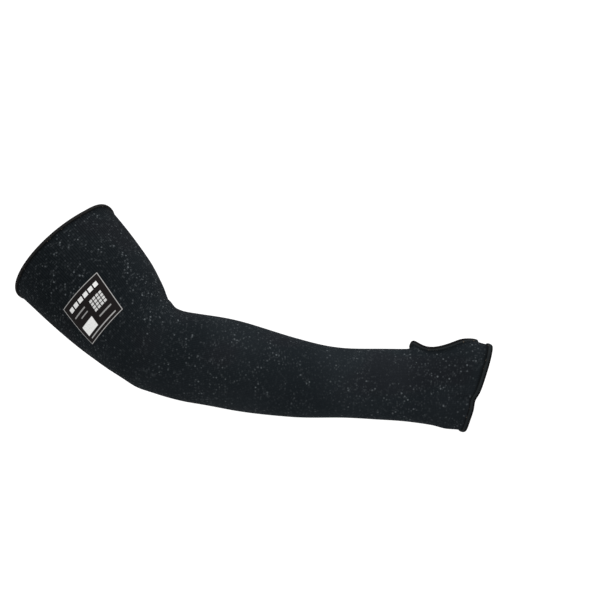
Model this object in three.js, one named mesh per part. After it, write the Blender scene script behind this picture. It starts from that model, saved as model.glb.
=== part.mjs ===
// Cut resistant sleeve: a seamless knitted tube that covers the arm and the palm, in the form it has
// when it is worn on a bent arm. Lengths are in millimetres and angles in degrees.
// +X runs along the forearm towards the hand, +Z is up on the thumb side, and +Y is behind the sleeve,
// on the palm side. The origin is the middle of the arm opening.
// Angles round the sleeve start at the thumb side, and 90 is the front, on the back of the hand.
import * as THREE from "three";

// Main sizes of the sleeve
const sleeve_length = 448;
const arm_width = 123;
const arm_depth = 108;
const elbow_width = 86;
const elbow_depth = 83;
const forearm_width = 86.5;
const forearm_depth = 80;
const wrist_width = 69;
const wrist_depth = 48;
const hand_width = 90;
const hand_depth = 39;
const cloth_thickness = 1.8;

// Thumb hole, in the thumb side between the wrist and the hand opening
const thumb_hole_length = 62;
const thumb_hole_width = 28;
const thumb_hole_to_hand = 14;
const thumb_hole_facing = -18;

// Overlocked edges: a thread cover that wraps the cut edge of the knit, a little looser at its lip
const clearance = 0.35;
const thread_cover = 0.9;
const lip_flare = 0.3;
const arm_hem_reach = 2.2;
const hand_hem_reach = 3.2;
const thumb_hem_reach = 2.3;

// Edge of the arm opening: it bows out towards the elbow's side, and once more near its top
const arm_edge_bow = 3;
const arm_edge_bow_facing = 135;
const arm_top_bow = 2.4;
const arm_top_bow_facing = 18;
const arm_top_bow_spread = 26;

// Edge of the hand opening: it bows out over the back of the hand and once more below, and has one
// notch, where the overlocking starts and ends
const hand_edge_bow = 3;
const hand_low_bow = 2.2;
const hand_low_bow_facing = 158;
const hand_low_bow_spread = 24;
const hand_notch_depth = 2;
const hand_notch_facing = 107;
const hand_notch_spread = 9;

// Label on the front of the upper arm
const label_length = 45;
const label_width = 54;
const label_thickness = 0.6;
const label_to_opening = 76;
const label_facing = 105.5;
const label_slant = 10;
const label_skew = 10.5;

// Number of faces along and round the pieces. From the arm opening to the thumb hole the rows are
// closer at the elbow and at the hole: each stretch ends at a share of that length.
const stretches = [
  { until: 0.28, rows: 6 },
  { until: 0.42, rows: 8 },
  { until: 0.93, rows: 6 },
  { until: 0.975, rows: 2 },
  { until: 1, rows: 4 },
];
const rows_at_hole = 16;
const rows_after_hole = 3;
const columns = 48;
const label_faces = 6;

// Sections of the sleeve. along is the share of the sleeve's length. heading is how far the sleeve
// points down, and recede how far it comes forward. lean tips the section's top towards the hand.
// square is the roundness: 2 is an ellipse, and more is fuller at the corners.
const section_columns = ["along", "heading", "recede", "lean", "width", "depth", "square"];
const section_rows = [
  [0.0, 45, 17, 45, arm_width, arm_depth, 2.05],
  [0.08, 46, 17, 43.5, 0.958 * arm_width, 0.96 * arm_depth, 2.05],
  [0.16, 45.5, 17, 40, 0.891 * arm_width, 0.91 * arm_depth, 2.05],
  [0.22, 44, 15, 32.5, 0.813 * arm_width, 0.85 * arm_depth, 2.05],
  [0.26, 40.5, 13, 25, 1.083 * elbow_width, 1.06 * elbow_depth, 2.1],
  [0.295, 39, 9, 17, 1.061 * elbow_width, 1.02 * elbow_depth, 2.1],
  [0.325, 22, 5, 12, 0.992 * elbow_width, elbow_depth, 2.1],
  [0.385, 9.3, 1, 6, forearm_width, forearm_depth, 2.1],
  [0.485, 12.5, 0, 6, 0.997 * forearm_width, 0.97 * forearm_depth, 2.1],
  [0.6, 10.1, 0, 5, 0.889 * forearm_width, 0.86 * forearm_depth, 2.15],
  [0.705, 2.9, 0, 3, 0.983 * wrist_width, 1.18 * wrist_depth, 2.2],
  [0.8, 1.9, 0, 1, wrist_width, wrist_depth, 2.25],
  [0.86, 2.7, 0, 0, 1.03 * wrist_width, 0.94 * wrist_depth, 2.3],
  [0.905, -0.9, 0, 1, 0.846 * hand_width, 1.1 * hand_depth, 2.35],
  [0.95, -3, 0, 7.5, 0.956 * hand_width, 1.04 * hand_depth, 2.4],
  [1.0, 12, 0, 17.8, hand_width, hand_depth, 2.4],
];
const sections = section_rows.map((row) => {
  return Object.fromEntries(section_columns.map((name, i) => [name, row[i]]));
});

// Raised and sunk places of the cloth. rise is the share of the forearm's depth by which the cloth
// stands out, and before, after and around are how far it fades: shares of the sleeve's length
// towards each end, and an angle.
const folds = [
  { along: 0.865, facing: -8, rise: 0.07, before: 0.016, after: 0.028, around: 32 },
  { along: 0.3, facing: 18, rise: -0.03, before: 0.018, after: 0.018, around: 38 },
  { along: 0.335, facing: 12, rise: 0.018, before: 0.014, after: 0.02, around: 40 },
  { along: 0.27, facing: 180, rise: 0.015, before: 0.05, after: 0.05, around: 45 },
];

const radians = THREE.MathUtils.degToRad;

// A smooth curve through one column of the sections' table: cubic between its rows, and straight
// past its first and last row.
function column(name) {
  const last = sections.length - 1;
  const slopes = sections.map((row, i) => {
    const from = sections[Math.max(i - 1, 0)];
    const to = sections[Math.min(i + 1, last)];
    return (to[name] - from[name]) / (to.along - from.along);
  });
  return (along) => {
    let i = 0;
    while (i < last - 1 && along > sections[i + 1].along) {
      i += 1;
    }
    const span = sections[i + 1].along - sections[i].along;
    const t = (along - sections[i].along) / span;
    if (t < 0 || t > 1) {
      const end = t < 0 ? i : i + 1;
      return sections[end][name] + slopes[end] * (along - sections[end].along);
    }
    const rest = 1 - t;
    const from = sections[i][name] * (1 + 2 * t) + slopes[i] * span * t;
    const to = sections[i + 1][name] * (1 + 2 * rest) - slopes[i + 1] * span * rest;
    return from * rest * rest + to * t * t;
  };
}

const heading = column("heading");
const recede = column("recede");
const lean = column("lean");
const width = column("width");
const depth = column("depth");
const square = column("square");

// The direction in which the sleeve runs at a place along it.
function direction(along) {
  const down = radians(heading(along));
  const forward = radians(recede(along));
  return new THREE.Vector3(
    Math.cos(down) * Math.cos(forward),
    -Math.sin(forward),
    -Math.sin(down) * Math.cos(forward),
  );
}

// The centre line, added up in short straight steps from the arm opening.
const centre_steps = 500;
const centre_points = [new THREE.Vector3()];
for (let i = 0; i < centre_steps; i += 1) {
  const step = direction((i + 0.5) / centre_steps).multiplyScalar(sleeve_length / centre_steps);
  centre_points.push(centre_points[i].clone().add(step));
}

function centre(along) {
  const place = Math.min(Math.max(along, 0), 1) * centre_steps;
  const i = Math.min(Math.floor(place), centre_steps - 1);
  const point = centre_points[i].clone().lerp(centre_points[i + 1], place - i);
  const past = (along - place / centre_steps) * sleeve_length;
  return point.addScaledVector(direction(along), past);
}

// The smooth form of the arm: a rounded oval section, set across the centre line.
function form(along, facing) {
  const angle = radians(facing);
  const tip = radians(lean(along));
  const up = new THREE.Vector3(Math.sin(tip), 0, Math.cos(tip));
  const front = direction(along).cross(up).normalize();
  const power = square(along);
  const size = Math.abs(Math.cos(angle)) ** power + Math.abs(Math.sin(angle)) ** power;
  const reach = 0.5 * size ** (-1 / power);
  return centre(along)
    .addScaledVector(up, width(along) * Math.cos(angle) * reach)
    .addScaledVector(front, depth(along) * Math.sin(angle) * reach);
}

// How a surface that is a function of along and facing runs at a place: its slope for one unit of
// along, its slope for one degree round, and its outward normal. They come from points close by.
const near_along = 0.002;
const near_facing = 1;

function slopes(surface, along, facing) {
  const run = surface(along + near_along, facing).sub(surface(along - near_along, facing));
  const turn = surface(along, facing + near_facing).sub(surface(along, facing - near_facing));
  run.divideScalar(2 * near_along);
  turn.divideScalar(2 * near_facing);
  return { run, turn, outward: turn.clone().cross(run).normalize() };
}

// The angle from one facing to another, the short way round.
function turnBetween(from, to) {
  return THREE.MathUtils.euclideanModulo(to - from + 180, 360) - 180;
}

// How far the folds lift the cloth at a place: each is a bell that fades with the distance from it.
function relief(along, facing) {
  let rise = 0;
  for (const fold of folds) {
    const away = along - fold.along;
    const run = away / (away < 0 ? fold.before : fold.after);
    const turn = turnBetween(fold.facing, facing) / fold.around;
    rise += fold.rise * forearm_depth * Math.exp(-run * run - turn * turn);
  }
  return rise;
}

function cloth(along, facing) {
  return form(along, facing).addScaledVector(slopes(form, along, facing).outward, relief(along, facing));
}

// A point of the sleeve's outer face, moved out by lift, or in where lift is less than nothing.
function skin(along, facing, lift) {
  return cloth(along, facing).addScaledVector(slopes(cloth, along, facing).outward, lift);
}

// How much of a surface's two slopes a vector along it holds.
function split(vector, { run, turn }) {
  const slant = run.dot(turn);
  const size = run.lengthSq() * turn.lengthSq() - slant * slant;
  return {
    along: (vector.dot(run) * turn.lengthSq() - vector.dot(turn) * slant) / size,
    facing: (vector.dot(turn) * run.lengthSq() - vector.dot(run) * slant) / size,
  };
}

// The length along the cloth for one unit of along, and the length round it for one degree.
const stretchAlong = (along, facing) => slopes(form, along, facing).run.length();
const stretchRound = (along, facing) => slopes(form, along, facing).turn.length();

// The place on the thumb side that lies a length of cloth before the hand opening.
function beforeHand(distance) {
  const steps = 60;
  let along = 1;
  for (let i = 0; i < steps; i += 1) {
    along -= distance / steps / stretchAlong(along, thumb_hole_facing);
  }
  return along;
}

const hole_end = beforeHand(thumb_hole_to_hand);
const hole_start = beforeHand(thumb_hole_to_hand + thumb_hole_length);
const hole_middle = (hole_start + hole_end) / 2;
const hole_half_angle = thumb_hole_width / 2 / stretchRound(hole_middle, thumb_hole_facing);

// A point of the thumb hole's rim: 0 is nearest the hand, 90 the front, 180 nearest the wrist.
function holeRim(turn) {
  const angle = radians(turn);
  return {
    along: hole_middle + ((hole_end - hole_start) / 2) * Math.cos(angle),
    facing: thumb_hole_facing + hole_half_angle * Math.sin(angle),
  };
}

// The arm opening's edge: it bows out on one side and near its top.
function armEdge(facing) {
  const bow = arm_edge_bow * Math.max(0, Math.cos(radians(facing - arm_edge_bow_facing)));
  const away = turnBetween(arm_top_bow_facing, facing) / arm_top_bow_spread;
  return -(bow + arm_top_bow * Math.exp(-away * away)) / sleeve_length;
}

// The hand opening's edge: it bows out at the front and below, and has a notch.
function handEdge(facing) {
  const bow = hand_edge_bow * Math.max(0, Math.sin(radians(facing)));
  const below = turnBetween(hand_low_bow_facing, facing) / hand_low_bow_spread;
  const low_bow = hand_low_bow * Math.exp(-below * below);
  const away = turnBetween(hand_notch_facing, facing) / hand_notch_spread;
  const notch = hand_notch_depth * Math.exp(-away * away);
  return 1 + (bow + low_bow - notch) / sleeve_length;
}

// The rows of the sleeve from the arm to the hand. Between the ends of the thumb hole a row is open
// there, and half_angle is half of its opening.
const sleeve_rows = [];
let stretch_start = 0;
for (const stretch of stretches) {
  for (let i = 0; i < stretch.rows; i += 1) {
    const share = stretch_start + ((stretch.until - stretch_start) * i) / stretch.rows;
    sleeve_rows.push({ along: hole_start * share, half_angle: 0 });
  }
  stretch_start = stretch.until;
}
const rows_before_hole = sleeve_rows.length;
for (let i = 0; i <= rows_at_hole; i += 1) {
  const rim = holeRim(180 - (180 * i) / rows_at_hole);
  const open = i > 0 && i < rows_at_hole;
  sleeve_rows.push({ along: rim.along, half_angle: open ? rim.facing - thumb_hole_facing : 0 });
}
for (let i = 1; i <= rows_after_hole; i += 1) {
  sleeve_rows.push({ along: hole_end + ((1 - hole_end) * i) / rows_after_hole, half_angle: 0 });
}

// Each row goes once round from the front rim of the thumb hole to its back rim. Towards the ends
// the rows follow the edges of the two openings more and more.
function place(row, column_number) {
  const share = column_number / columns;
  const facing = thumb_hole_facing + row.half_angle + share * (360 - 2 * row.half_angle);
  const before = Math.max(0, 1 - row.along / hole_start);
  const past = Math.max(0, (row.along - hole_end) / (1 - hole_end));
  return { along: row.along + before * armEdge(facing) + past * (handEdge(facing) - 1), facing };
}

function solid(points, triangles) {
  const geometry = new THREE.BufferGeometry();
  const numbers = points.flatMap((point) => point.toArray());
  geometry.setAttribute("position", new THREE.Float32BufferAttribute(numbers, 3));
  geometry.setIndex(triangles);
  geometry.computeVertexNormals();
  return geometry;
}

// The knitted tube: an outer and an inner grid of points, joined at both ends and round the hole.
function sleeveTube() {
  const points = [];
  const numbers = [];
  for (const lift of [0, -cloth_thickness]) {
    const face = sleeve_rows.map((row) => {
      const line = [];
      const ends = row.half_angle > 0 ? columns + 1 : columns;
      for (let j = 0; j < ends; j += 1) {
        const { along, facing } = place(row, j);
        line.push(points.length);
        points.push(skin(along, facing, lift));
      }
      if (row.half_angle === 0) {
        line.push(line[0]);
      }
      return line;
    });
    numbers.push(face);
  }
  const [outer, inner] = numbers;
  const triangles = [];
  const quad = (a, b, c, d) => triangles.push(a, b, c, a, c, d);
  const last = sleeve_rows.length - 1;
  for (let i = 0; i < last; i += 1) {
    for (let j = 0; j < columns; j += 1) {
      quad(outer[i][j], outer[i][j + 1], outer[i + 1][j + 1], outer[i + 1][j]);
      quad(inner[i][j], inner[i + 1][j], inner[i + 1][j + 1], inner[i][j + 1]);
    }
  }
  for (let j = 0; j < columns; j += 1) {
    quad(outer[0][j], inner[0][j], inner[0][j + 1], outer[0][j + 1]);
    quad(outer[last][j], outer[last][j + 1], inner[last][j + 1], inner[last][j]);
  }
  for (let i = rows_before_hole; i < rows_before_hole + rows_at_hole; i += 1) {
    quad(outer[i][0], outer[i + 1][0], inner[i + 1][0], inner[i][0]);
    quad(outer[i][columns], inner[i][columns], inner[i + 1][columns], outer[i + 1][columns]);
  }
  return solid(points, triangles);
}

// An overlocked edge: a channel that wraps the cut edge all round. The edge is a closed list of
// places with the cloth on its left, seen from outside. The channel's section is a list of points,
// each with its distance into the cloth from the edge and its height over the middle of the cloth's
// thickness. The distances are measured along the cloth, so the channel bends with it.
function overlock(edge, reach) {
  const slot = cloth_thickness / 2 + clearance;
  const top = slot + thread_cover;
  const nose = clearance + 1.4 * thread_cover;
  const corner = 0.6 * thread_cover;
  const profile = [
    [reach, slot + lip_flare],
    [reach, top - corner],
    [reach - corner, top],
    [-clearance, top],
    [-nose, 0.45 * top],
    [-nose, -0.45 * top],
    [-clearance, -top],
    [reach - corner, -top],
    [reach, corner - top],
    [reach, -slot - lip_flare],
    [-clearance, -slot],
    [-clearance, slot],
  ];
  const path = edge.map(({ along, facing }) => cloth(along, facing));
  const points = [];
  edge.forEach(({ along, facing }, i) => {
    const before = path[(i + edge.length - 1) % edge.length];
    const after = path[(i + 1) % edge.length];
    const near = slopes(cloth, along, facing);
    const inwards = near.outward.clone().cross(after.clone().sub(before)).normalize();
    const step = split(inwards, near);
    for (const [into, up] of profile) {
      points.push(skin(along + into * step.along, facing + into * step.facing, up - cloth_thickness / 2));
    }
  });
  const triangles = [];
  const sides = profile.length;
  for (let i = 0; i < edge.length; i += 1) {
    const next = (i + 1) % edge.length;
    for (let j = 0; j < sides; j += 1) {
      const k = (j + 1) % sides;
      triangles.push(i * sides + j, i * sides + k, next * sides + k);
      triangles.push(i * sides + j, next * sides + k, next * sides + j);
    }
  }
  return solid(points, triangles);
}

function armHem() {
  const edge = [];
  for (let j = 0; j < columns; j += 1) {
    edge.push(place(sleeve_rows[0], j));
  }
  return overlock(edge, arm_hem_reach);
}

function handHem() {
  const edge = [];
  for (let j = columns; j > 0; j -= 1) {
    edge.push(place(sleeve_rows[sleeve_rows.length - 1], j));
  }
  return overlock(edge, hand_hem_reach);
}

function thumbHem() {
  const edge = [];
  for (let i = 0; i < 2 * rows_at_hole; i += 1) {
    edge.push(holeRim((180 * i) / rows_at_hole));
  }
  return overlock(edge, thumb_hem_reach);
}

// The label lies on the cloth and bends with it. It is a flat piece held against the cloth at its
// middle, and each of its points is brought to the nearest place of the cloth. It slants across the
// ribs, and the stretched knit has skewed it.
function labelPatch() {
  const middle = { along: label_to_opening / sleeve_length, facing: label_facing };
  const { run, outward } = slopes(cloth, middle.along, middle.facing);
  const ahead = run.clone().normalize();
  const side = ahead.clone().cross(outward);
  const slanted = (angle, first, second) => {
    return first.clone().multiplyScalar(Math.cos(angle)).addScaledVector(second, Math.sin(angle));
  };
  const length_way = slanted(radians(label_slant), ahead, side);
  const width_way = slanted(radians(label_skew - label_slant), side, ahead);
  const steps = 6;
  const onCloth = (u, v, lift) => {
    const flat = cloth(middle.along, middle.facing)
      .addScaledVector(length_way, label_length * (u - 0.5))
      .addScaledVector(width_way, label_width * (v - 0.5));
    let { along, facing } = middle;
    for (let i = 0; i < steps; i += 1) {
      const step = split(flat.clone().sub(cloth(along, facing)), slopes(cloth, along, facing));
      along += step.along;
      facing += step.facing;
    }
    return skin(along, facing, lift);
  };
  const points = [];
  for (const lift of [clearance + label_thickness, clearance]) {
    for (let i = 0; i <= label_faces; i += 1) {
      for (let j = 0; j <= label_faces; j += 1) {
        points.push(onCloth(i / label_faces, j / label_faces, lift));
      }
    }
  }
  const line = label_faces + 1;
  const under = line * line;
  const triangles = [];
  const quad = (a, b, c, d) => triangles.push(a, b, c, a, c, d);
  for (let i = 0; i < label_faces; i += 1) {
    for (let j = 0; j < label_faces; j += 1) {
      const a = i * line + j;
      quad(a, a + 1, a + line + 1, a + line);
      quad(a + under, a + under + line, a + under + line + 1, a + under + 1);
    }
    const far = label_faces * line;
    quad(i, i + under, i + 1 + under, i + 1);
    quad(far + i, far + i + 1, far + i + 1 + under, far + i + under);
    quad(i * line, (i + 1) * line, (i + 1) * line + under, i * line + under);
    const side = i * line + label_faces;
    quad(side, side + under, side + line + under, side + line);
  }
  return solid(points, triangles);
}

const finishes = {
  knit: { color: 0x141a1e, roughness: 0.95, metalness: 0 },
  hem: { color: 0x17181b, roughness: 0.9, metalness: 0 },
  label: { color: 0x1e1a1b, roughness: 0.7, metalness: 0 },
};

function piece(name, geometry, finish) {
  const mesh = new THREE.Mesh(geometry, new THREE.MeshStandardMaterial(finishes[finish]));
  mesh.name = name;
  return mesh;
}

const sleeve = new THREE.Group();
sleeve.add(piece("sleeve_tube", sleeveTube(), "knit"));
sleeve.add(piece("arm_hem", armHem(), "hem"));
sleeve.add(piece("hand_hem", handHem(), "hem"));
sleeve.add(piece("thumb_hem", thumbHem(), "hem"));
sleeve.add(piece("label_patch", labelPatch(), "label"));

export default sleeve;
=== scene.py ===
"""Cut resistant sleeve: a seamless knitted tube for the arm and the palm, in its worn form.

Lengths are in metres and angles in degrees. +X runs along the forearm towards the hand, +Z is up on
the thumb side, and -Y is the side with the back of the hand, which the camera sees.
"""

from functools import partial

import bpy
import numpy as np
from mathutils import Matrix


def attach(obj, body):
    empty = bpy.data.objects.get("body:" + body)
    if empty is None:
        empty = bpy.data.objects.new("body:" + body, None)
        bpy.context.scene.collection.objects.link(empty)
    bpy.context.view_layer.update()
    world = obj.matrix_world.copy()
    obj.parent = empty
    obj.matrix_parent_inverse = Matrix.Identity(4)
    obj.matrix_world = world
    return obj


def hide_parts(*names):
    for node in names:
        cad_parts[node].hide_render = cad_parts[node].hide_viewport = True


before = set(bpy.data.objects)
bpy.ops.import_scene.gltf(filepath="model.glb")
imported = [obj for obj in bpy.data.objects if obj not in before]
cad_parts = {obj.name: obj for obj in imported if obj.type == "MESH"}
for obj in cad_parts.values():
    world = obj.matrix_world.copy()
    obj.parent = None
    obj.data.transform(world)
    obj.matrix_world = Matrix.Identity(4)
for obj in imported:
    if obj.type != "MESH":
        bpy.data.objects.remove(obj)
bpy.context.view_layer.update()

# Form of the sleeve. The real one is knitted on a round machine as a plain tube and takes its form
# from the arm: oval sections set across a centre line, which bends at the elbow. A place on it is
# given by along, the share of the length from the arm opening, and facing, the angle round it.
LENGTH = 0.448
ARM_WIDTH, ARM_DEPTH = 0.123, 0.108
ELBOW_WIDTH, ELBOW_DEPTH = 0.086, 0.083
FOREARM_WIDTH, FOREARM_DEPTH = 0.0865, 0.080
WRIST_WIDTH, WRIST_DEPTH = 0.069, 0.048
HAND_WIDTH, HAND_DEPTH = 0.090, 0.039
CLOTH = 0.0018

# heading is how far the sleeve points down, recede how far it comes forward, and lean tips the
# section's top towards the hand. square is the roundness: 2 is an ellipse, more is fuller.
SECTION_COLUMNS = ("along", "heading", "recede", "lean", "width", "depth", "square")
SECTION_ROWS = (
    (0.0, 45, 17, 45, ARM_WIDTH, ARM_DEPTH, 2.05),
    (0.08, 46, 17, 43.5, 0.958 * ARM_WIDTH, 0.96 * ARM_DEPTH, 2.05),
    (0.16, 45.5, 17, 40, 0.891 * ARM_WIDTH, 0.91 * ARM_DEPTH, 2.05),
    (0.22, 44, 15, 32.5, 0.813 * ARM_WIDTH, 0.85 * ARM_DEPTH, 2.05),
    (0.26, 40.5, 13, 25, 1.083 * ELBOW_WIDTH, 1.06 * ELBOW_DEPTH, 2.1),
    (0.295, 39, 9, 17, 1.061 * ELBOW_WIDTH, 1.02 * ELBOW_DEPTH, 2.1),
    (0.325, 22, 5, 12, 0.992 * ELBOW_WIDTH, ELBOW_DEPTH, 2.1),
    (0.385, 9.3, 1, 6, FOREARM_WIDTH, FOREARM_DEPTH, 2.1),
    (0.485, 12.5, 0, 6, 0.997 * FOREARM_WIDTH, 0.97 * FOREARM_DEPTH, 2.1),
    (0.6, 10.1, 0, 5, 0.889 * FOREARM_WIDTH, 0.86 * FOREARM_DEPTH, 2.15),
    (0.705, 2.9, 0, 3, 0.983 * WRIST_WIDTH, 1.18 * WRIST_DEPTH, 2.2),
    (0.8, 1.9, 0, 1, WRIST_WIDTH, WRIST_DEPTH, 2.25),
    (0.86, 2.7, 0, 0, 1.03 * WRIST_WIDTH, 0.94 * WRIST_DEPTH, 2.3),
    (0.905, -0.9, 0, 1, 0.846 * HAND_WIDTH, 1.1 * HAND_DEPTH, 2.35),
    (0.95, -3, 0, 7.5, 0.956 * HAND_WIDTH, 1.04 * HAND_DEPTH, 2.4),
    (1.0, 12, 0, 17.8, HAND_WIDTH, HAND_DEPTH, 2.4),
)
SECTIONS = dict(zip(SECTION_COLUMNS, np.array(SECTION_ROWS).T))

# Raised and sunk places of the cloth. rise is in metres. before, after and around are how far a fold
# fades: shares of the length towards each end, and an angle. twist slants it round the sleeve.
FOLD_COLUMNS = ("along", "facing", "rise", "before", "after", "around", "twist")
FOLD_ROWS = (
    (0.866, -8, 0.0062, 0.006, 0.026, 32, 0),
    (0.952, 0, 0.0012, 0.012, 0.012, 28, 0),
    (0.998, 4, -0.0028, 0.020, 0.03, 34, 0),
    (0.28, 8, -0.0029, 0.023, 0.018, 38, 0),
    (0.27, 180, 0.0012, 0.05, 0.05, 45, 0),
    (0.303, 180, -0.0011, 0.015, 0.015, 50, 0),
    (0.318, 55, -0.0006, 0.007, 0.009, 26, 0.0004),
    (0.345, 60, 0.0005, 0.01, 0.012, 30, 0.0003),
    (0.272, 50, -0.0005, 0.008, 0.008, 24, -0.0003),
    (0.975, 107, -0.0020, 0.022, 0.04, 5, 0),
)


def smooth(name):
    """A smooth curve through one column of the sections: cubic between two rows, with the slope of
    the line over the neighbours at each, and straight past the first and last row."""
    x, y = SECTIONS["along"], SECTIONS[name]
    number = np.arange(len(x))
    before, after = np.maximum(number - 1, 0), np.minimum(number + 1, len(x) - 1)
    slope = (y[after] - y[before]) / (x[after] - x[before])

    def curve(along):
        i = np.clip(np.searchsorted(x, along) - 1, 0, len(x) - 2)
        span = x[i + 1] - x[i]
        t = (along - x[i]) / span
        rest = 1 - t
        first = y[i] * (1 + 2 * t) + slope[i] * span * t
        second = y[i + 1] * (1 + 2 * rest) - slope[i + 1] * span * rest
        inside = first * rest * rest + second * t * t
        past = np.where(t < 0, y[i] + slope[i] * (along - x[i]), y[i + 1] + slope[i + 1] * (along - x[i + 1]))
        return np.where((t < 0) | (t > 1), past, inside)

    return curve


HEADING, RECEDE, LEAN, WIDTH, DEPTH, SQUARE = (smooth(name) for name in SECTION_COLUMNS[1:])


def direction(along):
    """The centre line's direction: +X turned down by the heading and forward by the recede."""
    down, forward = np.radians(HEADING(along)), np.radians(RECEDE(along))
    flat = np.cos(forward)
    return np.stack([np.cos(down) * flat, -np.sin(forward), -np.sin(down) * flat], -1)


STEPS = 500
CENTRES = np.zeros((STEPS + 1, 3))
CENTRES[1:] = np.cumsum(direction((np.arange(STEPS) + 0.5) / STEPS) * LENGTH / STEPS, 0)


def centre(along):
    """The centre line: its directions added up in short steps, and straight past the two ends."""
    inside = np.clip(along, 0, 1)
    i = np.minimum((inside * STEPS).astype(int), STEPS - 1)
    t = (inside * STEPS - i)[..., None]
    past = ((along - inside) * LENGTH)[..., None]
    return CENTRES[i] * (1 - t) + CENTRES[i + 1] * t + direction(along) * past


def form(along, facing):
    """The smooth form of the arm: from the centre line, width times cosine towards the section's top
    and depth times sine towards its front, both divided by the root of a rounded square."""
    along, facing = np.broadcast_arrays(np.asarray(along, float), np.asarray(facing, float))
    angle, tip, power = np.radians(facing), np.radians(LEAN(along)), SQUARE(along)
    up = np.stack([np.sin(tip), np.zeros_like(tip), np.cos(tip)], -1)
    front = np.cross(direction(along), up)
    front /= np.linalg.norm(front, axis=-1, keepdims=True)
    reach = 0.5 * (np.abs(np.cos(angle)) ** power + np.abs(np.sin(angle)) ** power) ** (-1 / power)
    high, deep = WIDTH(along) * np.cos(angle) * reach, DEPTH(along) * np.sin(angle) * reach
    return centre(along) + up * high[..., None] + front * deep[..., None]


def slopes(surface, along, facing):
    """A surface's slope for one unit of along and for one degree round, from points close by, and
    its outward normal, which is square to both."""
    step, turn_step = 0.002, 1.0
    run = (surface(along + step, facing) - surface(along - step, facing)) / (2 * step)
    turn = (surface(along, facing + turn_step) - surface(along, facing - turn_step)) / (2 * turn_step)
    outward = np.cross(turn, run)
    return run, turn, outward / np.linalg.norm(outward, axis=-1, keepdims=True)


def turned(facing):
    """An angle brought to between -180 and 180."""
    return np.mod(facing + 180, 360) - 180


def relief(along, facing):
    """How far the folds lift the cloth: each is a bell that fades with the square of the distance,
    along the sleeve and round it."""
    rise = np.zeros(np.broadcast(along, facing).shape)
    for row in FOLD_ROWS:
        fold = dict(zip(FOLD_COLUMNS, row))
        round_it = turned(facing - fold["facing"])
        away = along - fold["along"] - fold["twist"] * round_it
        run = away / np.where(away < 0, fold["before"], fold["after"])
        rise += fold["rise"] * np.exp(-run * run - (round_it / fold["around"]) ** 2)
    return rise


def cloth(along, facing):
    """The cloth's outer face: the form, moved out by the relief."""
    return form(along, facing) + slopes(form, along, facing)[2] * relief(along, facing)[..., None]


def skin(along, facing, lift):
    """The cloth's outer face moved out by lift, or in where lift is less than nothing."""
    lift = np.broadcast_to(lift, np.broadcast(along, facing).shape)
    return cloth(along, facing) + slopes(cloth, along, facing)[2] * lift[..., None]


def split(vector, run, turn):
    """How much of a surface's two slopes a vector along it holds: two equations, solved by hand."""
    def dot(first, second):
        return np.sum(first * second, -1)

    slant = dot(run, turn)
    size = dot(run, run) * dot(turn, turn) - slant ** 2
    along = (dot(vector, run) * dot(turn, turn) - dot(vector, turn) * slant) / size
    return along, (dot(vector, turn) * dot(run, run) - dot(vector, run) * slant) / size


def build(name, points, faces, corners, material):
    """A mesh object at the origin from points, four-cornered faces and the UV place of each corner."""
    mesh = bpy.data.meshes.new(name)
    mesh.vertices.add(len(points))
    mesh.vertices.foreach_set("co", np.ascontiguousarray(points, np.float32).ravel())
    mesh.loops.add(faces.size)
    mesh.loops.foreach_set("vertex_index", faces.astype(np.int32).ravel())
    mesh.polygons.add(len(faces))
    mesh.polygons.foreach_set("loop_start", np.arange(0, faces.size, 4, dtype=np.int32))
    mesh.polygons.foreach_set("use_smooth", np.ones(len(faces), bool))
    mesh.uv_layers.new(name="weave").data.foreach_set("uv", corners.astype(np.float32).ravel())
    mesh.update(calc_edges=True)
    mesh.validate()
    piece = bpy.data.objects.new(name, mesh)
    bpy.context.scene.collection.objects.link(piece)
    mesh.materials.append(material)
    return piece


def quads(strips, u, v):
    """The faces between neighbouring rows and columns of some strips, which are grids of numbers into
    the UV places u and v, and the UV place of each corner. The corners run round each face."""
    faces = np.concatenate([
        np.stack([strip[:-1, :-1], strip[:-1, 1:], strip[1:, 1:], strip[1:, :-1]], -1).reshape(-1, 4)
        for strip in strips])
    return faces, np.stack([u.ravel()[faces], v.ravel()[faces]], -1)


class Nodes:
    """Short calls for a material's nodes: each returns the socket with its result."""

    def __init__(self, name):
        self.material = bpy.data.materials.new(name)
        self.material.use_nodes = True
        self.tree = self.material.node_tree
        self.shader = self.tree.nodes["Principled BSDF"]

    def add(self, kind, inputs=(), output=0, **settings):
        node = self.tree.nodes.new("ShaderNode" + kind)
        for key, value in settings.items():
            setattr(node, key, value)
        for key, value in dict(inputs).items():
            self.put(node.inputs[key], value)
        return node.outputs[output]

    def put(self, socket, value):
        if isinstance(value, bpy.types.NodeSocket):
            self.tree.links.new(value, socket)
        else:
            socket.default_value = value

    def math(self, operation, *values, clamp=False):
        return self.add("Math", dict(enumerate(values)), operation=operation, use_clamp=clamp)

    def mix(self, share, first, second):
        """A blend of two colours: share of the second one."""
        return self.add(
            "Mix", {0: share, 6: first, 7: second}, output=2, data_type="RGBA", clamp_factor=True)

    def ramp(self, value, low, high):
        """A value brought from low..high to 0..1, smooth at both ends."""
        return self.add(
            "MapRange", {0: value, 1: low, 2: high, 3: 0.0, 4: 1.0}, interpolation_type="SMOOTHSTEP")


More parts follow.
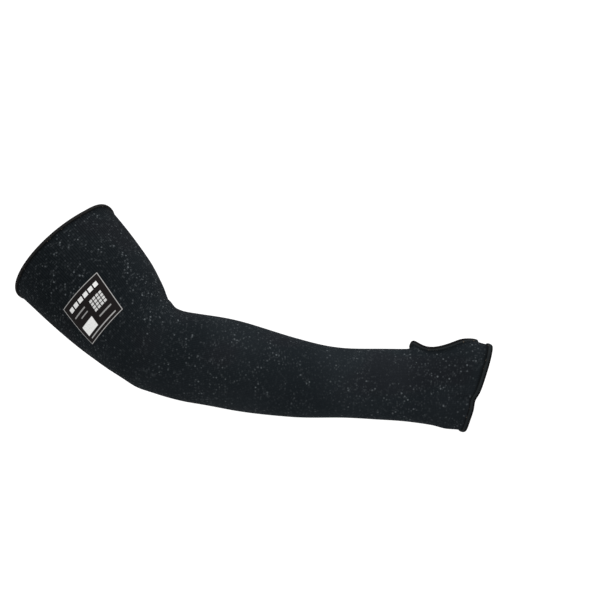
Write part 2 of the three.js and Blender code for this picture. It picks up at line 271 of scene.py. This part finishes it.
# Knitted tube. Fine bluish black plain knit of cut resistant yarn, with pale grey fibres that show
# as flecks, a few denser than the rest. The ribs of stitches run along the arm. The wall is hollow
# and about 2 mm thick, and the thumb hole is cut through it on the thumb side, before the hand.
HOLE_LENGTH, HOLE_WIDTH = 0.062, 0.031
HOLE_TO_HAND = 0.014
HOLE_FACING = -15.5
ARM_BOW, ARM_BOW_FACING = 0.003, 135
ARM_TOP_BOW, ARM_TOP_BOW_FACING, ARM_TOP_BOW_SPREAD = 0.0024, 18, 26
HAND_BOW = 0.003
HAND_LOW_BOW, HAND_LOW_BOW_FACING, HAND_LOW_BOW_SPREAD = 0.0022, 158, 24
NOTCH, NOTCH_FACING, NOTCH_SPREAD = 0.002, 107, 9
ARM_REACH, HAND_REACH, THUMB_REACH = 0.0022, 0.0034, 0.0034
ROWS_TO_HOLE, ROWS_AT_HOLE, ROWS_TO_HAND = 236, 52, 10
COLUMNS = 150
WALES, COURSES = 150, 360
V_START, V_LENGTH = 0.01, 0.47
KNIT_DARK, KNIT_LIGHT = (0.0066, 0.0088, 0.0106, 1), (0.0088, 0.0113, 0.0134, 1)
KNIT_WARM = (0.0088, 0.0084, 0.0106, 1)
FLECK = (0.064, 0.072, 0.077, 1)


def before_hand(distance):
    """The place on the thumb side that lies a length of cloth before the hand opening."""
    steps, along = 60, 1.0
    for _ in range(steps):
        along -= distance / steps / np.linalg.norm(slopes(form, along, HOLE_FACING)[0])
    return along


HOLE_END, HOLE_START = before_hand(HOLE_TO_HAND), before_hand(HOLE_TO_HAND + HOLE_LENGTH)
HOLE_MIDDLE = (HOLE_START + HOLE_END) / 2
HOLE_HALF = HOLE_WIDTH / 2 / np.linalg.norm(slopes(form, HOLE_MIDDLE, HOLE_FACING)[1])


def hole_rim(turn):
    """The thumb hole's rim, an ellipse: 0 is nearest the hand, 90 the front, 180 nearest the wrist."""
    angle = np.radians(turn)
    along = HOLE_MIDDLE + (HOLE_END - HOLE_START) / 2 * np.cos(angle)
    return along, HOLE_FACING + HOLE_HALF * np.sin(angle)


def arm_edge(facing):
    """How far the arm opening's edge bows out, on one side and near its top, as a share of the length."""
    bow = ARM_BOW * np.maximum(0, np.cos(np.radians(facing - ARM_BOW_FACING)))
    bow += ARM_TOP_BOW * np.exp(-(turned(facing - ARM_TOP_BOW_FACING) / ARM_TOP_BOW_SPREAD) ** 2)
    return -bow / LENGTH


def hand_edge(facing):
    """How far the hand opening's edge bows out over the back of the hand and below, less a notch."""
    bow = HAND_BOW * np.maximum(0, np.sin(np.radians(facing)))
    bow += HAND_LOW_BOW * np.exp(-(turned(facing - HAND_LOW_BOW_FACING) / HAND_LOW_BOW_SPREAD) ** 2)
    notch = NOTCH * np.exp(-(turned(facing - NOTCH_FACING) / NOTCH_SPREAD) ** 2)
    return (bow - notch) / LENGTH


def tube_grid():
    """Rows from the arm to the hand and columns once round, from the hole's front rim to its back
    rim. Near the ends the rows follow the edges of the openings more and more."""
    to_hole = np.linspace(0, HOLE_START, ROWS_TO_HOLE, endpoint=False)
    at_hole, rim = hole_rim(np.linspace(180, 0, ROWS_AT_HOLE + 1))
    to_hand = np.linspace(HOLE_END, 1, ROWS_TO_HAND + 1)[1:]
    along = np.concatenate([to_hole, at_hole, to_hand])
    half = np.zeros_like(along)
    half[ROWS_TO_HOLE:ROWS_TO_HOLE + ROWS_AT_HOLE + 1] = rim - HOLE_FACING
    half[[ROWS_TO_HOLE, ROWS_TO_HOLE + ROWS_AT_HOLE]] = 0
    share = np.linspace(0, 1, COLUMNS + 1)
    facing = HOLE_FACING + half[:, None] + share * (360 - 2 * half[:, None])
    along = np.broadcast_to(along[:, None], facing.shape)
    before = np.maximum(0, 1 - along / HOLE_START)
    past = np.maximum(0, (along - HOLE_END) / (1 - HOLE_END))
    return along + before * arm_edge(facing) + past * hand_edge(facing), facing


def to_overlock(along, facing):
    """How far a place is from the nearest overlocking, in metres; it sets the painted shade of the
    groove beside the overlocking. Under the top of the arm's one places count as nearer, which widens
    the painted shadow there. At the hole it is the distance from its ellipse, along the line from the
    hole's middle. The overlocking's own reach is taken off."""
    # Painted shadow under the top of the arm opening's overlocking: distances there are scaled down, so the
    # painted groove shade reaches further.
    shadow_distance_scale = 1 - 0.65 * np.exp(-(turned(facing - 20) / 36) ** 2)
    arm = ((along - arm_edge(facing)) * LENGTH - ARM_REACH) * shadow_distance_scale
    hand = (1 + hand_edge(facing) - along) * LENGTH - HAND_REACH
    run = (along - HOLE_MIDDLE) * 2 / (HOLE_END - HOLE_START)
    turn = turned(facing - HOLE_FACING) / HOLE_HALF
    past_rim = 1 - 1 / np.maximum(np.hypot(run, turn), 1e-6)
    hole = np.hypot(run * HOLE_LENGTH / 2, turn * HOLE_WIDTH / 2) * past_rim - THUMB_REACH
    return np.minimum(np.minimum(arm, hand), hole / 2)


def tube_mesh(material):
    """The outer and the inner face as two grids, joined at both ends and round the thumb hole. Where
    a row isn't open at the hole, its last point is its first one."""
    along, facing = tube_grid()
    rows, ends = along.shape
    hole = slice(ROWS_TO_HOLE, ROWS_TO_HOLE + ROWS_AT_HOLE + 1)
    closed = np.r_[:hole.start + 1, hole.stop - 1:rows]
    u = np.stack([(facing - HOLE_FACING) / 360] * 2)
    v = V_START + V_LENGTH * along + np.array([0, 0.5])[:, None, None]
    points = np.stack([skin(along, facing, lift) for lift in (0, -CLOTH)])
    places = np.arange(u.size).reshape(u.shape)
    outer, inner = places
    faces, corners = quads([
        outer,
        inner[:, ::-1],
        np.stack([inner[0], outer[0]]),
        np.stack([outer[-1], inner[-1]]),
        np.stack([inner[hole, 0], outer[hole, 0]], -1),
        np.stack([outer[hole, -1], inner[hole, -1]], -1),
    ], u, v)
    joined = places.copy()
    joined[:, closed, -1] = joined[:, closed, 0]
    used, faces = np.unique(joined.ravel()[faces], return_inverse=True)
    tube = build("knit_tube", points.reshape(-1, 3)[used], faces.reshape(-1, 4), corners, material)
    distance = np.tile(to_overlock(along, facing).ravel(), 2)[used].astype(np.float32)
    tube.data.attributes.new("to_overlock", "FLOAT", "POINT").data.foreach_set("value", distance)
    return tube


def knit_material():
    """Plain knit. A stitch is one cell of wales by courses: its two legs make a V, high in the middle
    of each leg, and the ribs show most where the knit is stretched wide. Painted shade makes the knit
    darker towards the arm opening, over the hand and in the groove beside the overlocking, where the
    flecks fade too. Flecks are random stitches and random points, more in some places than others."""
    n = Nodes("knit")
    place = n.add("UVMap", uv_map="weave")
    solid = n.add("TexCoord", output="Object")
    round_it, down_it = n.add("SeparateXYZ", {0: place}).node.outputs[:2]
    wale = n.math("MULTIPLY", round_it, float(WALES))
    course = n.math("MULTIPLY", down_it, COURSES / V_LENGTH)
    leg = n.math("MULTIPLY", n.math("ABSOLUTE", n.math("SUBTRACT", n.math("FRACT", wale), 0.5)), 2.0)
    slant = n.math("FRACT", n.math("ADD", course, n.math("MULTIPLY", leg, 0.7)))
    rib = n.math("SINE", n.math("MULTIPLY", leg, np.pi))
    bead = n.math("SINE", n.math("MULTIPLY", slant, np.pi))
    height = n.math("MULTIPLY", n.math("ADD", n.math("MULTIPLY", rib, 0.7), 0.3),
                    n.math("ADD", n.math("MULTIPLY", bead, 0.45), 0.55))

    stitch = n.add("CombineXYZ", {0: n.math("FLOOR", wale), 1: n.math("FLOOR", course)})
    chance = n.add("TexWhiteNoise", {"Vector": stitch}, output="Value", noise_dimensions="2D")
    cloudy = n.add("TexNoise", {"Vector": solid, "Scale": 55.0, "Detail": 2.0}, noise_dimensions="3D")
    broad = n.add("TexNoise", {"Vector": solid, "Scale": 16.0, "Detail": 1.0}, noise_dimensions="3D")
    dense = n.ramp(cloudy, 0.35, 0.7)
    grain = n.math("POWER", chance, 9.0)
    grain = n.math("MULTIPLY", grain, n.math("ADD", n.math("MULTIPLY", dense, 0.22), 0.09))
    dots = n.add("TexVoronoi", {"Vector": solid, "Scale": 350.0}, feature="F1").node
    near = n.ramp(dots.outputs["Distance"], 0.42, 0.16)
    lucky = n.add("SeparateColor", {0: dots.outputs["Color"]})
    lucky = n.math("POWER", lucky, 5.0)
    fleck = n.math("MULTIPLY", n.math("MULTIPLY", near, lucky), n.math("ADD", dense, 0.25))
    fleck = n.math("ADD", fleck, grain, clamp=True)

    ground = n.mix(n.ramp(broad, 0.35, 0.65), KNIT_DARK, KNIT_LIGHT)
    warm = n.add("TexNoise", {"Vector": solid, "Scale": 21.0, "Detail": 0.0}, noise_dimensions="3D")
    ground = n.mix(n.math("MULTIPLY", n.ramp(warm, 0.56, 0.7), 0.35), ground, KNIT_WARM)
    wide = n.add("MapRange", {0: down_it, 1: 0.02, 2: 0.30, 3: 0.75, 4: 0.25})
    wale_shade = n.math("MULTIPLY", n.math("SUBTRACT", 0.5, leg), wide)
    shade = n.math("ADD", n.math("ADD", n.math("MULTIPLY", height, 0.5), 0.72), wale_shade)
    # Painted shade along the sleeve: darker more and more towards the arm opening, and darker over the hand.
    painted_shade_to_arm = n.add("MapRange", {0: down_it, 1: 0.05, 2: 0.36, 3: 0.63, 4: 1.0})
    painted_shade_on_hand = n.add("MapRange", {0: down_it, 1: 0.40, 2: 0.46, 3: 1.0, 4: 0.78})
    # Painted shade in the groove beside the overlocking: the knit there is down to half as bright, and its
    # flecks fade out.
    out_of_groove_shade = n.ramp(n.add("Attribute", attribute_name="to_overlock", output=2), -0.0006, 0.0028)
    groove = n.math("ADD", n.math("MULTIPLY", out_of_groove_shade, 0.5), 0.5)
    painted_shade = n.math("MULTIPLY", n.math("MULTIPLY", painted_shade_to_arm, painted_shade_on_hand), groove)
    ground = n.add("VectorMath", {0: ground, 1: n.math("MULTIPLY", shade, painted_shade)}, operation="MULTIPLY")
    n.put(n.shader.inputs["Base Color"], n.mix(n.math("MULTIPLY", fleck, out_of_groove_shade), ground, FLECK))
    n.put(n.shader.inputs["Roughness"], n.math("SUBTRACT", 0.95, n.math("MULTIPLY", fleck, 0.3)))
    n.put(n.shader.inputs["Normal"], n.add("Bump", {"Strength": 0.6, "Distance": 0.0004, "Height": height}))
    n.shader.inputs["Specular IOR Level"].default_value = 0.02
    return n.material


knit = knit_material()
tube = tube_mesh(knit)
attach(tube, "root")
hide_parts("sleeve_tube")

# Overlocked edges. A black thread cover wraps each cut edge of the knit in close turns. A painted
# highlight runs along its crest, and a groove lies where it meets the knit.
HEM_NOSE = 0.0016
HEM_PITCH, HEM_SIDES, HEM_SLANT, HEM_SWELL = 0.0012, 22, 1.2, 0.00004
HEM_COLUMNS = ("name", "node", "reach", "proud", "steps", "crest", "colour")
# crest is where a painted highlight lies across the section, measured round from the inner side, and the last
# column is that highlight's tint.
HEM_ROWS = (
    ("arm_edge_overlock", "arm_hem", ARM_REACH, 0.00125, 1320, 0.235, (0.0115, 0.0110, 0.0108, 1)),
    ("hand_edge_overlock", "hand_hem", HAND_REACH, 0.00125, 800, 0.205, (0.0094, 0.0116, 0.0125, 1)),
    ("thumb_edge_overlock", "thumb_hem", THUMB_REACH, 0.0021, 560, 0.075, (0.0150, 0.0178, 0.0190, 1)),
)
HEM_BLACK, HEM_BROWN = (0.0028, 0.0029, 0.0033, 1), (0.0048, 0.0046, 0.0046, 1)
HEM_BEIGE = (0.11, 0.085, 0.06, 1)


def overlock_mesh(name, edge, reach, proud, material):
    """A rolled edge: a rounded oval section, carried along the cut edge. The edge is a closed list of
    places with the cloth on its left. The section's distances are measured along the cloth, and its
    cover swells at every turn of thread: a wave along the edge that slants across it."""
    along, facing = edge
    path = cloth(along, facing)
    run, turn, outward = slopes(cloth, along, facing)
    inwards = np.cross(outward, np.roll(path, -1, 0) - np.roll(path, 1, 0))
    inwards /= np.linalg.norm(inwards, axis=-1, keepdims=True)
    into_along, into_facing = split(inwards, run, turn)
    distance = np.append(0, np.cumsum(np.linalg.norm(np.roll(path, -1, 0) - path, axis=-1)))
    turns = np.round(distance[-1] / HEM_PITCH)
    ahead = distance / distance[-1]

    around = np.linspace(0, 2 * np.pi, HEM_SIDES, endpoint=False)
    half_deep, half_wide = CLOTH / 2 + proud, (reach + HEM_NOSE) / 2
    wave = np.cos(2 * np.pi * turns * ahead[:-1, None] + HEM_SLANT * np.cos(around))
    swell = 1 + HEM_SWELL * wave / half_wide
    wide, high = (np.sign(side) * np.abs(side) ** 0.8 * swell for side in (np.cos(around), np.sin(around)))
    into = reach - half_wide + half_wide * wide
    points = skin(
        along[:, None] + into * into_along[:, None],
        facing[:, None] + into * into_facing[:, None],
        half_deep * high - CLOTH / 2)
    joined = np.pad(np.arange(into.size).reshape(into.shape), ((0, 1), (0, 1)), mode="wrap")
    u, v = np.meshgrid(ahead, np.linspace(0, 1, HEM_SIDES + 1), indexing="ij")
    faces, corners = quads([np.arange(u.size).reshape(u.shape)], u, v)
    return build(name, points.reshape(-1, 3), joined.ravel()[faces], corners, material(turns))


def hem_material(name, highlight_place, highlight_colour, turns):
    """Turns of thread across the edge, each one a little lighter or darker, with painted shade between
    the turns, a painted highlight along the crest and a few beige stitches beside the groove."""
    n = Nodes(name)
    ahead, across = n.add("SeparateXYZ", {0: n.add("UVMap", uv_map="weave")}).node.outputs[:2]
    angle = n.math("MULTIPLY", across, 2 * np.pi)
    phase = n.math("ADD", n.math("MULTIPLY", ahead, float(turns)),
                   n.math("MULTIPLY", n.math("COSINE", angle), HEM_SLANT / 2 / np.pi))
    strand = n.math("COSINE", n.math("MULTIPLY", phase, 2 * np.pi))
    strand = n.math("ADD", n.math("MULTIPLY", strand, 0.5), 0.5)
    number = n.math("FLOOR", phase)
    chance = n.add("TexWhiteNoise", {"W": number}, output="Value", noise_dimensions="1D")
    # Painted highlight along the crest of the roll, a little stronger or weaker at each turn.
    crest = n.ramp(n.math("ABSOLUTE", n.math("SUBTRACT", across, highlight_place)), 0.10, 0.045)
    crest = n.math("MULTIPLY", crest, n.math("ADD", n.math("MULTIPLY", chance, 0.2), 0.8))
    lip = n.ramp(n.math("ABSOLUTE", n.math("SUBTRACT", across, 0.07)), 0.06, 0.02)
    beige = n.math("MULTIPLY", lip, n.ramp(chance, 0.86, 0.95))
    base = n.mix(chance, HEM_BLACK, HEM_BROWN)
    # Painted shade between the turns of thread: each turn darker towards its sides.
    depth = n.math("ADD", n.math("MULTIPLY", strand, 0.3), 0.7)
    base = n.add("VectorMath", {0: base, 1: depth}, operation="MULTIPLY")
    base = n.mix(crest, base, highlight_colour)
    n.put(n.shader.inputs["Base Color"], n.mix(n.math("MULTIPLY", beige, 0.6), base, HEM_BEIGE))
    fibre = n.add("TexNoise", {"Vector": n.add("TexCoord", output="Object"), "Scale": 2600.0, "Detail": 1.0})
    height = n.math("ADD", strand, n.math("MULTIPLY", fibre, 0.3))
    n.put(n.shader.inputs["Normal"], n.add("Bump", {"Strength": 0.5, "Distance": 0.0003, "Height": height}))
    n.put(n.shader.inputs["Roughness"], n.math("SUBTRACT", 0.85, n.math("MULTIPLY", strand, 0.15)))
    n.shader.inputs["Specular IOR Level"].default_value = 0.03
    return n.material


def closed_edge(node, steps):
    """The closed list of places along the cut edge that a hem wraps."""
    turn = np.linspace(0, 360, steps, endpoint=False)
    if node == "arm_hem":
        return arm_edge(turn), turn
    if node == "hand_hem":
        return 1 + hand_edge(-turn), -turn
    return hole_rim(turn)


for row in HEM_ROWS:
    hem = dict(zip(HEM_COLUMNS, row))
    edge = closed_edge(hem["node"], hem["steps"])
    thread = partial(hem_material, hem["name"], hem["crest"], hem["colour"])
    piece = overlock_mesh(hem["name"], edge, hem["reach"], hem["proud"], thread)
    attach(piece, "root")
    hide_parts(hem["node"])

# Label on the upper arm. A square of smooth near-black film, pressed flat on the knit, printed in
# pale grey with a thin frame and plain shapes: a blank panel to write on, rules and small squares.
LABEL_LENGTH, LABEL_WIDTH, LABEL_THICK = 0.0458, 0.0550, 0.0006
LABEL_ALONG, LABEL_FACING, LABEL_SLANT, LABEL_SKEW = 0.0768 / LENGTH, 105.5, 10, 10.5
LABEL_FACES = 72
LABEL_BLACK, LABEL_PALE = (0.0066, 0.0052, 0.0053, 1), (0.62, 0.62, 0.61, 1)
FRAME_FROM, FRAME_TO, FRAME_INK = 0.010, 0.024, 0.5
PRINT_COLUMNS = ("from_u", "to_u", "from_v", "to_v", "ink")
PRINT_ROWS = (
    (0.60, 0.83, 0.56, 0.88, 1.0),
    (0.34, 0.37, 0.57, 0.88, 0.35),
    (0.45, 0.475, 0.57, 0.76, 0.35),
    (0.72, 0.75, 0.14, 0.44, 0.35),
    (0.89, 0.915, 0.14, 0.86, 0.45),
)
GRID_COLUMNS = PRINT_COLUMNS + ("rows",)
GRID_ROWS = (
    (0.12, 0.245, 0.11, 0.89, 0.9, 1),
    (0.34, 0.62, 0.15, 0.46, 0.7, 4),
)


def label_mesh(material):
    """A flat piece held against the cloth at its middle, slanted and skewed, each point then brought to
    the nearest place of the cloth in a few steps. The patch is a closed slab whose upper face rounds
    down to the cloth at its rim."""
    share = np.linspace(0, 1, LABEL_FACES + 1)
    u, v = np.meshgrid(share, share, indexing="ij")
    along, facing = np.full_like(u, LABEL_ALONG), np.full_like(u, LABEL_FACING)
    run, _, outward = slopes(cloth, along, facing)
    ahead = run / np.linalg.norm(run, axis=-1, keepdims=True)
    side = np.cross(ahead, outward)
    slant, skew = np.radians(LABEL_SLANT), np.radians(LABEL_SKEW - LABEL_SLANT)
    flat = cloth(along, facing)
    flat += (ahead * np.cos(slant) + side * np.sin(slant)) * (LABEL_LENGTH * (u - 0.5))[..., None]
    flat += (side * np.cos(skew) + ahead * np.sin(skew)) * (LABEL_WIDTH * (v - 0.5))[..., None]
    for _ in range(6):
        run, turn, _ = slopes(cloth, along, facing)
        step_along, step_facing = split(flat - cloth(along, facing), run, turn)
        along, facing = along + step_along, facing + step_facing
    rim = np.minimum(np.minimum(u, 1 - u) * LABEL_LENGTH, np.minimum(v, 1 - v) * LABEL_WIDTH)
    rounding = np.sqrt(np.clip(1 - (1 - np.clip(rim / 0.0006, 0, 1)) ** 2, 0, 1))
    top = skin(along, facing, 0.0001 + LABEL_THICK * (0.35 + 0.65 * rounding))
    under = skin(along, facing, -0.0002)
    upper, lower = np.arange(2 * u.size).reshape(2, *u.shape)
    faces, corners = quads([
        upper,
        lower[:, ::-1],
        np.stack([lower[0], upper[0]]),
        np.stack([upper[-1], lower[-1]]),
        np.stack([upper[:, 0], lower[:, 0]]),
        np.stack([lower[:, -1], upper[:, -1]]),
    ], np.stack([u, u]), np.stack([v, v]))
    points = np.stack([top, under]).reshape(-1, 3)
    return build("upper_arm_label", points, faces, corners, material)


def label_material():
    """Print on film: a frame near the rim, rectangles and grids of small squares from the tables, with
    slightly worn ink."""
    n = Nodes("label")
    u, v = n.add("SeparateXYZ", {0: n.add("UVMap", uv_map="weave")}).node.outputs[:2]
    solid = n.add("TexCoord", output="Object")

    def inside(value, low, high):
        soft = 0.006
        start, end = n.ramp(value, low - soft, low + soft), n.ramp(value, high + soft, high - soft)
        return n.math("MULTIPLY", start, end)

    ink = 0.0
    for row in PRINT_ROWS:
        box = dict(zip(PRINT_COLUMNS, row))
        band = n.math("MULTIPLY", inside(u, box["from_u"], box["to_u"]), box["ink"])
        ink = n.math("MAXIMUM", ink, n.math("MULTIPLY", band, inside(v, box["from_v"], box["to_v"])))
    for row in GRID_ROWS:
        box = dict(zip(GRID_COLUMNS, row))
        squares = box["ink"]
        pitch = (box["to_u"] - box["from_u"]) / box["rows"]
        for value, start, end in ((u, box["from_u"], box["to_u"]), (v, box["from_v"], box["to_v"])):
            step = (end - start) / round((end - start) / pitch)
            cell = n.math("FRACT", n.math("DIVIDE", n.math("SUBTRACT", value, start), step))
            line = n.math("MULTIPLY", inside(value, start, end), inside(cell, 0.12, 0.88))
            squares = n.math("MULTIPLY", squares, line)
        ink = n.math("MAXIMUM", ink, squares)
    edge = n.math("MINIMUM", n.math("MINIMUM", u, n.math("SUBTRACT", 1.0, u)),
                  n.math("MINIMUM", v, n.math("SUBTRACT", 1.0, v)))
    ink = n.math("MAXIMUM", ink, n.math("MULTIPLY", inside(edge, FRAME_FROM, FRAME_TO), FRAME_INK))
    worn = n.add("TexNoise", {"Vector": solid, "Scale": 900.0, "Detail": 3.0})
    ink = n.math("MULTIPLY", ink, n.math("ADD", n.math("MULTIPLY", n.ramp(worn, 0.3, 0.5), 0.25), 0.75))
    n.put(n.shader.inputs["Base Color"], n.mix(ink, LABEL_BLACK, LABEL_PALE))
    n.put(n.shader.inputs["Roughness"], n.math("ADD", n.math("MULTIPLY", worn, 0.2), 0.5))
    n.put(n.shader.inputs["Normal"], n.add("Bump", {"Strength": 0.3, "Distance": 0.0001, "Height": worn}))
    n.shader.inputs["Specular IOR Level"].default_value = 0.05
    return n.material


label = label_mesh(label_material())
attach(label, "root")
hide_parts("label_patch")

# Floor, light and camera. The floor is plain and pale, the sky is white, and one wide soft lamp hangs
# above the front. The camera looks level at the outer side of the arm through a long lens.
FLOOR_HEIGHT, FLOOR_SIZE = -0.42, 12.0
bpy.ops.mesh.primitive_plane_add(size=FLOOR_SIZE, location=(0.2, 0, FLOOR_HEIGHT))
floor = bpy.context.object
floor.name = "floor"
paper = Nodes("floor_paper")
grain = paper.add("TexNoise", {"Vector": paper.add("TexCoord", output="Object"), "Scale": 3.0})
paper.put(paper.shader.inputs["Base Color"], paper.mix(grain, (0.93, 0.93, 0.93, 1), (0.95, 0.95, 0.95, 1)))
paper.shader.inputs["Roughness"].default_value = 0.9
paper.shader.inputs["Specular IOR Level"].default_value = 0.1
floor.data.materials.append(paper.material)

world = bpy.data.worlds.new("white_room")
world.use_nodes = True
world.node_tree.nodes["Background"].inputs["Color"].default_value = (1, 1, 1, 1)
world.node_tree.nodes["Background"].inputs["Strength"].default_value = 1.15
bpy.context.scene.world = world

lamp = bpy.data.objects.new("soft_lamp", bpy.data.lights.new("soft_lamp", "AREA"))
lamp.data.shape = "RECTANGLE"
lamp.data.size, lamp.data.size_y = 0.5, 0.4
lamp.data.energy = 5.0
lamp.location = (0.38, -0.30, 0.52)
lamp.rotation_euler = (np.radians(25), 0, 0)
bpy.context.scene.collection.objects.link(lamp)

camera = bpy.data.objects.new("camera", bpy.data.cameras.new("camera"))
camera.data.lens, camera.data.sensor_width = 123.7, 36
camera.location = (0.23086, -2.037, -0.04608)
camera.rotation_euler = (np.radians(90), 0, 0)
bpy.context.scene.collection.objects.link(camera)
bpy.context.scene.camera = camera
bpy.context.scene.view_settings.view_transform = "Standard"
